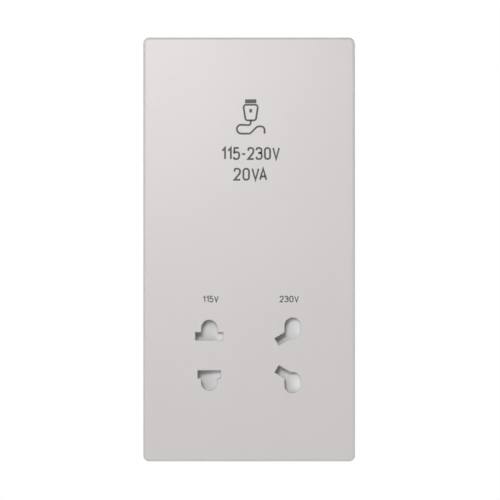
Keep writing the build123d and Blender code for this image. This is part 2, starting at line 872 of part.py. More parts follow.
# Steel dowels pressed into the deck, two through each microswitch
with BuildPart() as switch_dowels:
    with BuildSketch(facing_front(yoke_front_y + dowel_boss_depth)):
        with Locations(*dowel_places):
            Circle(dowel_radius)
    extrude(amount=dowel_boss_depth + deck_thickness + switch_depth)

# Transformer core: a stack of E and I sheets with two windows
hole_pitch_x = core_width - 2 * core_hole_inset
hole_pitch_z = core_height - 2 * core_hole_inset
with BuildPart() as transformer_core:
    with BuildSketch(facing_front(core_rear_y)):
        with Locations((0, core_mid_z)):
            Rectangle(core_width, core_height)
            with GridLocations(core_leg + core_window_width, 1, 2, 1):
                Rectangle(core_window_width, core_window_height, mode=Mode.SUBTRACT)
            with GridLocations(hole_pitch_x, hole_pitch_z, 2, 2):
                Circle(core_hole_radius, mode=Mode.SUBTRACT)
    extrude(amount=core_stack)

# Bobbin with two chambers, which keeps the primary apart from the secondary
spool_x = core_leg + 2 * bobbin_clearance
spool_y = core_stack + 2 * bobbin_clearance
spool_outer_x = spool_x + 2 * bobbin_wall
spool_outer_y = spool_y + 2 * bobbin_wall
flange_x = core_leg + 2 * core_window_width - 2 * bobbin_side_gap
flange_y = core_stack + 2 * core_window_width - 2 * bobbin_side_gap
bobbin_height = core_window_height - 2 * bobbin_clearance
winding_height = (bobbin_height - 3 * bobbin_flange) / 2
bobbin_bottom_z = core_mid_z - bobbin_height / 2
with BuildPart() as bobbin:
    with BuildSketch(Plane.XY.offset(bobbin_bottom_z)):
        with Locations((0, core_mid_y)):
            Rectangle(spool_outer_x, spool_outer_y)
    extrude(amount=bobbin_height)
    for level in range(3):
        flange_z = bobbin_bottom_z + level * (winding_height + bobbin_flange)
        with BuildSketch(Plane.XY.offset(flange_z)):
            with Locations((0, core_mid_y)):
                Rectangle(flange_x, flange_y)
        extrude(amount=bobbin_flange)
    with BuildSketch(Plane.XY.offset(bobbin_bottom_z)):
        with Locations((0, core_mid_y)):
            Rectangle(spool_x, spool_y)
    extrude(amount=bobbin_height, mode=Mode.SUBTRACT)

# Windings, each wrapped in tape
winding_x = flange_x - 2 * winding_side_room
winding_y = flange_y - 2 * winding_side_room
windings = {}
for node, level in (("primary_winding", 0), ("secondary_winding", 1)):
    winding_z = bobbin_bottom_z + bobbin_flange + level * (winding_height + bobbin_flange)
    with BuildPart() as winding:
        with BuildSketch(Plane.XY.offset(winding_z)):
            with Locations((0, core_mid_y)):
                RectangleRounded(winding_x, winding_y, winding_corner_radius)
                Rectangle(spool_outer_x, spool_outer_y, mode=Mode.SUBTRACT)
        extrude(amount=winding_height)
    windings[node] = winding
with BuildPart() as winding_tape:
    for level in range(2):
        winding_z = bobbin_bottom_z + bobbin_flange + level * (winding_height + bobbin_flange)
        with BuildSketch(Plane.XY.offset(winding_z)):
            with Locations((0, core_mid_y)):
                RectangleRounded(
                    winding_x + 2 * tape_thickness,
                    winding_y + 2 * tape_thickness,
                    winding_corner_radius + tape_thickness,
                )
                RectangleRounded(
                    winding_x, winding_y, winding_corner_radius, mode=Mode.SUBTRACT
                )
        extrude(amount=winding_height)

# Thermal cutout, lying in the corner between the windings and a core leg
with BuildPart() as thermal_cutout:
    cutout_x = core_leg / 2 + core_window_width + cutout_thickness / 2
    with BuildSketch(Plane.XY.offset(core_mid_z - cutout_length / 2)):
        with Locations((cutout_x, core_front_y - cutout_width / 2)):
            RectangleRounded(cutout_thickness, cutout_width, cutout_corner_radius)
    extrude(amount=cutout_length)
    for side in (-1, 1):
        with BuildSketch(Plane.XY.offset(core_mid_z + side * cutout_length / 2)):
            with Locations((cutout_x, core_front_y - cutout_width / 2)):
                Rectangle(cutout_tab_thickness, cutout_tab_width)
        extrude(amount=side * cutout_tab_length)

# Rear housing: stepped tub, deep behind the transformer and shallow behind the outlets
with BuildPart() as rear_housing:
    half_height = housing_height / 2
    deep_height = half_height - housing_step_z
    deep_mid_z = (half_height + housing_step_z) / 2
    inner_width = housing_width - 2 * housing_wall
    edge_radius = min(housing_edge_radius, housing_wall * 0.9)
    with BuildSketch(facing_front(0)):
        RectangleRounded(housing_width, housing_height, housing_corner_radius)
    extrude(amount=-housing_shallow)
    fillet(rear_housing.faces().sort_by(Axis.Y)[-1].edges(), edge_radius)
    with BuildSketch(facing_front(0)):
        with Locations((0, deep_mid_z)):
            RectangleRounded(housing_width, deep_height, housing_corner_radius)
    extrude(amount=-housing_deep)
    fillet(rear_housing.faces().sort_by(Axis.Y)[-1].edges(), edge_radius)
    with BuildSketch(facing_front(0)):
        Rectangle(inner_width, housing_height - 2 * housing_wall)
    extrude(amount=-(housing_shallow - housing_wall), mode=Mode.SUBTRACT)
    with BuildSketch(facing_front(0)):
        with Locations((0, deep_mid_z)):
            Rectangle(inner_width, deep_height - 2 * housing_wall)
    extrude(amount=-(housing_deep - housing_wall), mode=Mode.SUBTRACT)

    # Corner bosses for the housing screws
    with BuildSketch(facing_front(0)):
        with GridLocations(housing_screw_spacing_x, housing_screw_spacing_z, 2, 2):
            Circle(boss_radius)
    extrude(amount=-boss_height)
    with BuildSketch(facing_front(0)):
        with GridLocations(housing_screw_spacing_x, housing_screw_spacing_z, 2, 2):
            Circle(screw_radius + screw_pilot_clearance)
    extrude(amount=-(housing_screw_length - deck_thickness - yoke_thickness), mode=Mode.SUBTRACT)

    # Posts that carry the transformer
    with BuildSketch(facing_front(core_rear_y)):
        with Locations((0, core_mid_z)):
            with GridLocations(hole_pitch_x, hole_pitch_z, 2, 2):
                Circle(boss_radius)
    extrude(amount=-(housing_deep - housing_wall - core_rear_y))
    with BuildSketch(facing_front(core_rear_y)):
        with Locations((0, core_mid_z)):
            with GridLocations(hole_pitch_x, hole_pitch_z, 2, 2):
                Circle(screw_radius + screw_pilot_clearance)
    extrude(amount=-(core_screw_length - core_stack), mode=Mode.SUBTRACT)

    # Ventilation slots in the rear, top and side walls
    with BuildSketch(facing_front(housing_deep)):
        with Locations(
            (0, half_height - vent_end_distance), (0, housing_step_z + vent_step_distance)
        ):
            with GridLocations(vent_pitch, 1, vent_count, 1):
                SlotOverall(vent_length, vent_width, rotation=90)
    extrude(amount=housing_wall, mode=Mode.SUBTRACT)
    with BuildSketch(Plane.XY.offset(half_height)):
        with Locations((0, core_mid_y)):
            with GridLocations(vent_pitch, 1, vent_count, 1):
                SlotOverall(top_vent_length, vent_width, rotation=90)
    extrude(amount=-housing_wall, mode=Mode.SUBTRACT)
    for side in (-1, 1):
        with BuildSketch(facing_side(side * housing_width / 2)):
            with Locations((core_mid_y, core_mid_z)):
                with GridLocations(vent_pitch, 1, side_vent_count, 1):
                    SlotOverall(top_vent_length, vent_width, rotation=90)
        extrude(amount=-side * housing_wall, mode=Mode.SUBTRACT)

    # Slots for the terminal tails and a boss for the block screw
    block_top_z = block_mid_z + block_height / 2
    tail_mid_z = block_mid_z - block_height / 2 + cage_height + terminal_tail_thickness / 2
    with BuildSketch(facing_front(housing_shallow)):
        with Locations((0, tail_mid_z)):
            with GridLocations(terminal_spacing, 1, 2, 1):
                Rectangle(
                    terminal_tail_width + 2 * tail_slot_clearance,
                    terminal_tail_thickness + 2 * tail_slot_clearance,
                )
    extrude(amount=housing_wall, mode=Mode.SUBTRACT)
    pilot_front_y = block_rear_y - screw_head_height - block_screw_length - block_screw_end_room
    with BuildSketch(facing_front(housing_shallow)):
        with Locations((0, block_mid_z)):
            Circle(boss_radius)
    extrude(amount=housing_shallow - pilot_front_y + block_boss_wall)
    with BuildSketch(facing_front(housing_shallow)):
        with Locations((0, block_mid_z)):
            Circle(screw_radius + screw_pilot_clearance)
    extrude(amount=housing_shallow - pilot_front_y, mode=Mode.SUBTRACT)


def build_screws(places, head_y, length, towards_rear):
    """Pan-head screws at (x, z) places. The head's underside is at head_y."""
    reach = -length if towards_rear else length
    lift = screw_head_height if towards_rear else -screw_head_height
    with BuildPart() as screws:
        with BuildSketch(facing_front(head_y)):
            with Locations(*places):
                Circle(screw_radius)
        extrude(amount=reach)
        with BuildSketch(facing_front(head_y)):
            with Locations(*places):
                Circle(screw_head_radius)
        extrude(amount=lift)
        rims = screws.edges().filter_by(GeomType.CIRCLE).group_by(Axis.Y)
        fillet(rims[0] if towards_rear else rims[-1], screw_head_height * 0.4)
        with BuildSketch(facing_front(head_y - lift)):
            with Locations(*places):
                draw_recess()
        depth = -screw_recess_depth if towards_rear else screw_recess_depth
        extrude(amount=depth, mode=Mode.SUBTRACT)
    return screws


# Screws that join the body, yoke and housing
corner_x = housing_screw_spacing_x / 2
corner_z = housing_screw_spacing_z / 2
housing_places = [(x * corner_x, z * corner_z) for x in (-1, 1) for z in (-1, 1)]
housing_screws = build_screws(housing_places, deck_front_y, housing_screw_length, True)

# Screws that hold the transformer core on its posts
core_places = [
    (x * hole_pitch_x / 2, core_mid_z + z * hole_pitch_z / 2) for x in (-1, 1) for z in (-1, 1)
]
core_screws = build_screws(core_places, core_front_y, core_screw_length, True)

# Terminal block on the shallow part of the housing
cage_front_y = housing_shallow + block_wall
cage_bottom_z = block_mid_z - block_height / 2
cage_mid_z = cage_bottom_z + cage_height / 2
bore_y = cage_front_y + cage_clearance + cage_base_wall + wire_bore_radius
with BuildPart() as terminal_block:
    with BuildSketch(facing_front(housing_shallow)):
        with Locations((0, block_mid_z)):
            Rectangle(block_width, block_height)
    extrude(amount=-block_depth)
    fillet(terminal_block.edges().filter_by(Axis.Y), block_edge_radius)
    with BuildSketch(Plane.XY.offset(cage_bottom_z)):
        with Locations((0, cage_front_y + cage_depth / 2 + cage_clearance)):
            with GridLocations(terminal_spacing, 1, 2, 1):
                Rectangle(cage_width + 2 * cage_clearance, cage_depth + 2 * cage_clearance)
    extrude(amount=block_height, mode=Mode.SUBTRACT)

    # Openings for the terminal tails, the clamping screws and the fixing screw
    notch_bottom_z = tail_mid_z - terminal_tail_thickness / 2 - tail_slot_clearance
    with BuildSketch(facing_front(housing_shallow)):
        with Locations((0, (notch_bottom_z + block_top_z) / 2)):
            with GridLocations(terminal_spacing, 1, 2, 1):
                Rectangle(
                    terminal_tail_width + 2 * tail_slot_clearance, block_top_z - notch_bottom_z
                )
    extrude(amount=-block_wall, mode=Mode.SUBTRACT)
    with BuildSketch(facing_front(block_rear_y)):
        with Locations((0, cage_mid_z)):
            with GridLocations(terminal_spacing, 1, 2, 1):
                Circle(terminal_head_radius + screw_clearance)
    extrude(amount=block_depth - block_wall - cage_depth, mode=Mode.SUBTRACT)
    with BuildSketch(facing_front(block_rear_y)):
        with Locations((0, block_mid_z)):
            Circle(screw_radius + screw_clearance)
    extrude(amount=block_depth, mode=Mode.SUBTRACT)
    with BuildSketch(facing_front(block_rear_y)):
        with Locations((0, block_mid_z)):
            Circle(screw_head_radius + screw_clearance)
    extrude(amount=screw_head_height, mode=Mode.SUBTRACT)

block_screw = build_screws(
    [(0, block_mid_z)], block_rear_y - screw_head_height, block_screw_length, False
)

# Brass cages with a bore for the wire, a threaded hole and a tail into the housing
cages = {}
cage_rear_y = cage_front_y + cage_clearance + cage_depth
for node, x in (
    ("terminal_live", -terminal_spacing / 2),
    ("terminal_neutral", terminal_spacing / 2),
):
    with BuildPart() as cage:
        with BuildSketch(Plane.XY.offset(cage_bottom_z)):
            with Locations((x, cage_rear_y - cage_depth / 2)):
                Rectangle(cage_width, cage_depth)
            with Locations((x, bore_y)):
                Circle(wire_bore_radius, mode=Mode.SUBTRACT)
        extrude(amount=cage_height)
        with BuildSketch(facing_front(cage_rear_y)):
            with Locations((x, cage_mid_z)):
                Circle(terminal_screw_radius + screw_pilot_clearance)
        extrude(amount=cage_rear_y - bore_y, mode=Mode.SUBTRACT)
        tail_rear_y = bore_y + wire_bore_radius
        with BuildSketch(facing_front(tail_rear_y)):
            with Locations((x, tail_mid_z)):
                Rectangle(terminal_tail_width, terminal_tail_thickness)
        extrude(amount=tail_rear_y - housing_shallow + housing_wall + terminal_tail_reach)
    cages[node] = cage

# Earth terminal: brass block riveted to the yoke
with BuildPart() as earth_terminal:
    with BuildSketch(facing_front(0)):
        with Locations((earth_x, earth_z)):
            Rectangle(earth_width, earth_height)
    extrude(amount=-earth_depth)
    with BuildSketch(facing_front(0)):
        with Locations((earth_x, earth_z)):
            Circle(rivet_radius)
    extrude(amount=yoke_thickness)
    with BuildSketch(facing_front(yoke_front_y)):
        with Locations((earth_x, earth_z)):
            Circle(rivet_head_radius)
    extrude(amount=rivet_head_height, taper=20)
    with BuildSketch(facing_front(earth_depth)):
        with Locations((earth_x, earth_z)):
            Circle(earth_bore_radius)
    extrude(amount=earth_bore_depth, mode=Mode.SUBTRACT)
    clamp_y = earth_depth - earth_bore_depth / 2
    with BuildSketch(Plane.XY.offset(earth_z - earth_height / 2)):
        with Locations((earth_x, clamp_y)):
            Circle(terminal_screw_radius + screw_pilot_clearance)
    extrude(amount=earth_height / 2, mode=Mode.SUBTRACT)

# Clamping screws of the three terminals, backed off so that the bores are clear
with BuildPart() as terminal_screws:
    for x in (-terminal_spacing / 2, terminal_spacing / 2):
        with BuildSketch(facing_front(bore_y + wire_bore_radius)):
            with Locations((x, cage_mid_z)):
                Circle(terminal_screw_radius)
        extrude(amount=-(cage_rear_y - bore_y - wire_bore_radius))
        with BuildSketch(facing_front(cage_rear_y)):
            with Locations((x, cage_mid_z)):
                Circle(terminal_head_radius)
        extrude(amount=-terminal_head_height)
        with BuildSketch(facing_front(cage_rear_y + terminal_head_height)):
            with Locations((x, cage_mid_z)):
                Rectangle(2 * terminal_head_radius, screw_recess_slot)
        extrude(amount=screw_recess_depth, mode=Mode.SUBTRACT)
    with BuildSketch(Plane.XY.offset(earth_z - earth_bore_radius)):
        with Locations((earth_x, clamp_y)):
            Circle(terminal_screw_radius)
    extrude(amount=-(earth_height / 2 - earth_bore_radius))
    with BuildSketch(Plane.XY.offset(earth_z - earth_height / 2)):
        with Locations((earth_x, clamp_y)):
            Circle(terminal_head_radius)
    extrude(amount=-terminal_head_height)
    with BuildSketch(Plane.XY.offset(earth_z - earth_height / 2 - terminal_head_height)):
        with Locations((earth_x, clamp_y)):
            Rectangle(screw_recess_slot, 2 * terminal_head_radius)
    extrude(amount=screw_recess_depth, mode=Mode.SUBTRACT)

# Leads from the mains terminals through the switches and the cutout to the primary winding,
# and from the secondary winding to the contacts
coil_front_y = core_mid_y - flange_y / 2
front_duct_y = (yoke_front_y + coil_front_y) / 2
coil_lead_y = core_front_y - lead_coil_room
bobbin_top_z = bobbin_bottom_z + bobbin_height
loop_z = bobbin_top_z + lead_loop_height
deck_lead_y = yoke_front_y + lead_deck_room
cutout_y = core_front_y - cutout_width / 2
cutout_reach = cutout_length / 2 + cutout_tab_length
mains_tail_top_z = tail_mid_z + terminal_tail_thickness / 2
live_x = -terminal_spacing / 2
neutral_x = terminal_spacing / 2
pin_115_x, pin_115_top_z = switch_pins["115"]
pin_230_x, pin_230_top_z = switch_pins["230"]
output_x = pin_230_x - switch_pin_spacing
upper_tail_top_z = outlet_z + tail_z + contact_thickness / 2
lower_tail_top_z = outlet_z - tail_z + contact_thickness / 2
lower_tail_bottom_z = outlet_z - tail_z - contact_thickness / 2
passing_x = outlet_115_x + contact_tail_width / 2 + lead_tail_gap + lead_radius
common_x = -lead_coil_spacing / 2
jog_top_z = lower_tail_top_z + 2 * lead_jog_height
lead_routes = {
    "lead_live_115": [
        (live_x - lead_pair_offset, mains_duct_y, mains_tail_top_z),
        (live_x - lead_pair_offset, mains_duct_y, middle_level_z),
        (pin_115_x, switch_pin_y, middle_level_z),
        (pin_115_x, switch_pin_y, pin_115_top_z),
    ],
    "lead_live_230": [
        (live_x + lead_pair_offset, mains_duct_y, mains_tail_top_z),
        (live_x + lead_pair_offset, mains_duct_y, middle_level_z),
        (pin_230_x, deck_lead_y, middle_level_z),
        (pin_230_x, switch_pin_y, middle_level_z),
        (pin_230_x, switch_pin_y, pin_230_top_z),
    ],
    "lead_cutout_in": [
        (output_x, switch_pin_y, pin_230_top_z),
        (output_x, switch_pin_y, upper_level_z),
        (output_x, deck_lead_y, upper_level_z),
        (cutout_x, cutout_y, upper_level_z),
        (cutout_x, cutout_y, core_mid_z - cutout_reach),
    ],
    "lead_cutout_out": [
        (cutout_x, cutout_y, core_mid_z + cutout_reach),
        (cutout_x, cutout_y, loop_z),
        (cutout_x - lead_loop_width, cutout_y, loop_z),
        (cutout_x - lead_loop_width, cutout_y, bobbin_top_z),
    ],
    "lead_neutral": [
        (neutral_x, mains_duct_y, mains_tail_top_z),
        (neutral_x, mains_duct_y, upper_level_z),
        (neutral_x, coil_lead_y, upper_level_z),
        (neutral_x, coil_lead_y, bobbin_bottom_z),
    ],
    "lead_secondary_115": [
        (outlet_115_x, coil_lead_y, bobbin_top_z),
        (outlet_115_x, coil_lead_y, loop_z),
        (outlet_115_x, front_duct_y, loop_z),
        (outlet_115_x, front_duct_y, lower_level_z),
        (outlet_115_x, contact_duct_y, lower_level_z),
        (outlet_115_x, contact_duct_y, upper_tail_top_z),
    ],
    "lead_secondary_230": [
        (-common_x, coil_lead_y, bobbin_top_z),
        (-common_x, coil_lead_y, loop_z),
        (-common_x, front_duct_y, loop_z),
        (-common_x, front_duct_y, lower_level_z),
        (outlet_230_x, contact_duct_y, lower_level_z),
        (outlet_230_x, contact_duct_y, upper_tail_top_z),
    ],
    "lead_secondary_common": [
        (common_x, coil_lead_y, bobbin_top_z),
        (common_x, coil_lead_y, loop_z),
        (common_x, front_duct_y, loop_z),
        (common_x, front_duct_y, lower_level_z),
        (passing_x, contact_duct_y, lower_level_z),
        (passing_x, contact_duct_y, jog_top_z),
        (outlet_115_x, contact_duct_y, jog_top_z - lead_jog_height),
        (outlet_115_x, contact_duct_y, lower_tail_top_z),
    ],
    "lead_contact_link": [
        (outlet_115_x, contact_duct_y, lower_tail_bottom_z),
        (outlet_115_x, contact_duct_y, link_z),
        (outlet_230_x, contact_duct_y, link_z),
        (outlet_230_x, contact_duct_y, lower_tail_bottom_z),
    ],
}
leads = {}
for node, route in lead_routes.items():
    with BuildPart() as lead:
        with BuildLine() as line:
            FilletPolyline(*route, radius=lead_bend)
        with BuildSketch(Plane(origin=line.line @ 0, z_dir=line.line % 0)):
            Circle(lead_radius)
        sweep()
    leads[node] = lead

# Straight link between the two switches' output pins
with BuildPart() as lead_switch_link:
    link_start_x = pin_115_x + switch_pin_spacing + switch_pin_width / 2
    link_end_x = output_x - switch_pin_width / 2
    with BuildSketch(facing_side(link_start_x)):
        with Locations((switch_pin_y, pin_115_top_z - switch_pin_length / 2)):
            Circle(lead_radius)
    extrude(amount=link_end_x - link_start_x)

nodes = {
    "cover_plate": cover_plate,
    "mounting_yoke": mounting_yoke,
    "socket_body": socket_body,
    "shutter_frame": shutter_frame,
    "contact_retainer": contact_retainer,
    **contacts,
    "shutter_115": shutter_parts["115"],
    "shutter_230": shutter_parts["230"],
    "shutter_spring_115": springs["115"],
    "shutter_spring_230": springs["230"],
    "microswitch_115": switches["115"],
    "microswitch_230": switches["230"],
    "plunger_115": plungers["115"],
    "plunger_230": plungers["230"],
    "switch_dowels": switch_dowels,
    "transformer_core": transformer_core,
    "bobbin": bobbin,
    **windings,
    "winding_tape": winding_tape,
    "thermal_cutout": thermal_cutout,
    **leads,
    "lead_switch_link": lead_switch_link,
    "rear_housing": rear_housing,
    "housing_screws": housing_screws,
    "core_screws": core_screws,
    "terminal_block": terminal_block,
    "block_screw": block_screw,
    **cages,
    "earth_terminal": earth_terminal,
    "terminal_screws": terminal_screws,
}
for node, builder in nodes.items():
    builder.part.label = node
    export_step(builder.part, f"parts/{node}.step")
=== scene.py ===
import math

import bmesh
import bpy
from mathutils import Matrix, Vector


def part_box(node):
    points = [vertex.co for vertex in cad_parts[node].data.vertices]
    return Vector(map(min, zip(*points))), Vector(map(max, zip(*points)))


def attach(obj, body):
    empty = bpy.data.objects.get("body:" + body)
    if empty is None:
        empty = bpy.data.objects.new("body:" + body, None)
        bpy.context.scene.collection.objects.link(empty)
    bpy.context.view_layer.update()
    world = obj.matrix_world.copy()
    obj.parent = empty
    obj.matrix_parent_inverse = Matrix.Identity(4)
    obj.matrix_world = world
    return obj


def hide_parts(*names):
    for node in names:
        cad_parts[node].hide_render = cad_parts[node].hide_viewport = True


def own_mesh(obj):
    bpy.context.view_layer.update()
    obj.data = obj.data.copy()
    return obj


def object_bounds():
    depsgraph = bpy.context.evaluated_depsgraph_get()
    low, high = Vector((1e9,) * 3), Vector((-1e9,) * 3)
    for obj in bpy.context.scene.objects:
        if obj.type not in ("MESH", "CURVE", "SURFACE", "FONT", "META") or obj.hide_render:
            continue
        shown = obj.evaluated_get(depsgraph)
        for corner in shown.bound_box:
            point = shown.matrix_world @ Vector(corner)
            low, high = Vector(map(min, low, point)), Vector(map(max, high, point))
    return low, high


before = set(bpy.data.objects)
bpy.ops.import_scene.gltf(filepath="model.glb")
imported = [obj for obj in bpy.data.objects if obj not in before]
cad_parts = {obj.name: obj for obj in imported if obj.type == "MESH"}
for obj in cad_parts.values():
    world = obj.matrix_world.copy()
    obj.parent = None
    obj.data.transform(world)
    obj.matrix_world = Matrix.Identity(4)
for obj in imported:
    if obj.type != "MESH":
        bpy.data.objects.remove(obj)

# Shaver socket: pale moulded cover, steel yoke behind it, transformer in a dark rear housing
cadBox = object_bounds()
mm = 0.001
scene = bpy.context.scene
scene.view_settings.view_transform = "Standard"


# Camera: square on to the plate, from far enough to keep its edges straight
camera = {
    "lens": 200.0,
    "sensor": 36.0,
    "frameWidth": 166.2 * mm,  # what the picture spans at the plate's face
    "aimX": 0.27 * mm,
    "aimZ": -0.18 * mm,
}


def addCamera(faceY):
    data = bpy.data.cameras.new("viewCamera")
    data.lens = camera["lens"]
    data.sensor_width = camera["sensor"]
    distance = camera["frameWidth"] * camera["lens"] / camera["sensor"]
    viewCamera = bpy.data.objects.new("viewCamera", data)
    viewCamera.location = (camera["aimX"], faceY - distance, camera["aimZ"])
    viewCamera.rotation_euler = (math.radians(90), 0, 0)
    scene.collection.objects.link(viewCamera)
    scene.camera = viewCamera


# Lights: a soft key up and left of the camera, and weaker ones for the side and the rear housing
lights = {
    "key": {"place": (-0.06, -0.5, 0.12), "size": 0.1, "power": 1.21},
    "edge": {"place": (-0.42, -0.3, 0.38), "size": 0.14, "power": 0.7},
    "rear": {"place": (0.5, 0.75, 0.5), "size": 0.6, "power": 6.5},
    "side": {"place": (0.9, 0.1, 0.35), "size": 0.5, "power": 2.6},
}


def addLight(name):
    look = lights[name]
    data = bpy.data.lights.new(name + "Light", "AREA")
    data.size = look["size"]
    data.energy = look["power"]
    lamp = bpy.data.objects.new(name + "Light", data)
    lamp.location = look["place"]
    lamp.rotation_euler = (-Vector(look["place"])).to_track_quat("-Z", "Y").to_euler()
    scene.collection.objects.link(lamp)


# Surroundings: white to the eye, with soft light mostly from the front;
# reflections are paler up on the left
surroundings = {
    "fill": 0.29,  # strength of the world as a light
    "frontSide": (-0.2, -0.95, 0.25),
    "backShare": 0.16,
    "paleSide": (-0.55, -0.35, 0.76),
    "greyShare": 0.3,
    "floorDrop": 0.06,
    "floorSize": 0.9,
    "floorColour": 0.8,
    "floorLift": 0.6,  # added where the eye or a reflection looks at the floor
    "floorRoughness": 0.9,
}


def seenInMirrors(path, tree):
    # 1 where a reflection or glass looks at it
    return addMath(tree, "MAXIMUM", path.outputs["Is Glossy Ray"], path.outputs["Is Transmission Ray"])


def addMath(tree, operation, first, second):
    node = tree.nodes.new("ShaderNodeMath")
    node.operation = operation
    for socket, value in zip(node.inputs, (first, second)):
        if isinstance(value, (int, float)):
            socket.default_value = value
        else:
            tree.links.new(value, socket)
    return node.outputs[0]


def addRange(tree, value, given, wanted):
    node = tree.nodes.new("ShaderNodeMapRange")
    for name, number in zip(("From Min", "From Max", "To Min", "To Max"), (*given, *wanted)):
        node.inputs[name].default_value = number
    tree.links.new(value, node.inputs["Value"])
    return node.outputs["Result"]


def towards(tree, side, share):
    # 1 in the direction of that side, falling to the share opposite
    direction = tree.nodes.new("ShaderNodeTexCoord")
    facing = tree.nodes.new("ShaderNodeVectorMath")
    facing.operation = "DOT_PRODUCT"
    facing.inputs[1].default_value = Vector(surroundings[side]).normalized()
    tree.links.new(direction.outputs["Generated"], facing.inputs[0])
    return addRange(tree, facing.outputs["Value"], (-1, 1), (surroundings[share], 1))


def addSurroundings(lowestZ):
    world = bpy.data.worlds.new("studio")
    world.use_nodes = True
    tree = world.node_tree
    background = tree.nodes["Background"]
    background.inputs["Color"].default_value = (1, 1, 1, 1)
    path = tree.nodes.new("ShaderNodeLightPath")
    mirrored = seenInMirrors(path, tree)
    reflection = addMath(tree, "MULTIPLY", towards(tree, "paleSide", "greyShare"), mirrored)
    fill = addMath(tree, "MULTIPLY", towards(tree, "frontSide", "backShare"), surroundings["fill"])
    light = addMath(tree, "MULTIPLY", fill, addMath(tree, "SUBTRACT", 1, mirrored))
    strength = addMath(tree, "ADD", reflection, light)
    seen = addMath(tree, "MAXIMUM", strength, path.outputs["Is Camera Ray"])
    tree.links.new(seen, background.inputs["Strength"])
    scene.world = world

    half = surroundings["floorSize"] / 2
    level = lowestZ - surroundings["floorDrop"]
    mesh = bpy.data.meshes.new("floor")
    mesh.from_pydata(
        [(-half, -half, level), (half, -half, level), (half, half, level), (-half, half, level)],
        [],
        [(0, 1, 2, 3)],
    )
    floor = bpy.data.objects.new("floor", mesh)
    paper = bpy.data.materials.new("whitePaper")
    paper.use_nodes = True
    tree = paper.node_tree
    shader = tree.nodes["Principled BSDF"]
    pale = surroundings["floorColour"]
    shader.inputs["Base Color"].default_value = (pale, pale, pale, 1)
    shader.inputs["Roughness"].default_value = surroundings["floorRoughness"]
    shader.inputs["Emission Color"].default_value = (1, 1, 1, 1)
    path = tree.nodes.new("ShaderNodeLightPath")
    seen = addMath(tree, "MAXIMUM", seenInMirrors(path, tree), path.outputs["Is Camera Ray"])
    lift = addMath(tree, "MULTIPLY", seen, surroundings["floorLift"])
    tree.links.new(lift, shader.inputs["Emission Strength"])
    mesh.materials.append(paper)
    scene.collection.objects.link(floor)


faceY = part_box("cover_plate")[0].y
addCamera(faceY)
for name in lights:
    addLight(name)
addSurroundings(cadBox[0].z)
print("stage ready")


# Finishes
noiseRange = (0.3, 0.7)  # where most of a noise pattern's values lie
edgeSamples = 6
coatRoughness = 0.2
creaseAngle = math.radians(35)  # sharper than this stays an edge


def startFinish(name):
    finish = bpy.data.materials.new(name)
    finish.use_nodes = True
    tree = finish.node_tree
    where = tree.nodes.new("ShaderNodeTexCoord").outputs["Object"]
    return finish, tree, tree.nodes["Principled BSDF"], where


def addNoise(tree, where, size, detail=2.0, stretch=(1, 1, 1)):
    # cloudy pattern with blobs about size across, longer along a direction with a stretch above 1
    scaling = tree.nodes.new("ShaderNodeMapping")
    scaling.inputs["Scale"].default_value = [1 / (size * share) for share in stretch]
    noise = tree.nodes.new("ShaderNodeTexNoise")
    noise.inputs["Scale"].default_value = 1.0
    noise.inputs["Detail"].default_value = detail
    tree.links.new(where, scaling.inputs["Vector"])
    tree.links.new(scaling.outputs["Vector"], noise.inputs["Vector"])
    return noise.outputs["Fac"]


def addBands(tree, where, axis, pitch, distortion=0.0):
    # rows of ridges across an axis, one every pitch
    wave = tree.nodes.new("ShaderNodeTexWave")
    wave.bands_direction = axis
    wave.inputs["Scale"].default_value = 2 * math.pi / (20 * pitch)  # the node's own 20 a unit
    wave.inputs["Distortion"].default_value = distortion
    tree.links.new(where, wave.inputs["Vector"])
    return wave.outputs["Fac"]


def spread(tree, pattern, low, high):
    return addRange(tree, pattern, noiseRange, (low, high))


def tint(tree, pattern, colour, change):
    # colour that wanders by a share of itself with the pattern
    ramp = tree.nodes.new("ShaderNodeValToRGB")
    shares = (1 - change, 1 + change)
    for stop, place, share in zip(ramp.color_ramp.elements, noiseRange, shares):
        stop.position = place
        stop.color = (*[min(c * share, 1) for c in colour], 1)
    tree.links.new(pattern, ramp.inputs["Fac"])
    return ramp.outputs["Color"]


def addBump(tree, height, depth, under=None):
    bump = tree.nodes.new("ShaderNodeBump")
    bump.inputs["Distance"].default_value = depth
    tree.links.new(height, bump.inputs["Height"])
    if under is not None:
        tree.links.new(under, bump.inputs["Normal"])
    return bump.outputs["Normal"]


def softEdges(tree, radius):
    bevel = tree.nodes.new("ShaderNodeBevel")
    bevel.samples = edgeSamples
    bevel.inputs["Radius"].default_value = radius
    return bevel.outputs["Normal"]


def mouldedPlastic(name, look):
    finish, tree, shader, where = startFinish(name)
    cloud = addNoise(tree, where, look.get("cloudSize", 25 * mm))
    grain = addNoise(tree, where, look["grainSize"], 3.0)
    tree.links.new(tint(tree, cloud, look["colour"], look["change"]), shader.inputs["Base Color"])
    tree.links.new(spread(tree, grain, *look["roughness"]), shader.inputs["Roughness"])
    rounded = softEdges(tree, look.get("edge", 0.12 * mm))
    tree.links.new(addBump(tree, grain, look["grainDepth"], rounded), shader.inputs["Normal"])
    shader.inputs["IOR"].default_value = look.get("ior", 1.5)
    if "glow" in look:
        shader.inputs["Subsurface Weight"].default_value = 1.0
        shader.inputs["Subsurface Radius"].default_value = (1, 1, 1)
        shader.inputs["Subsurface Scale"].default_value = look["glow"] * mm
    return finish


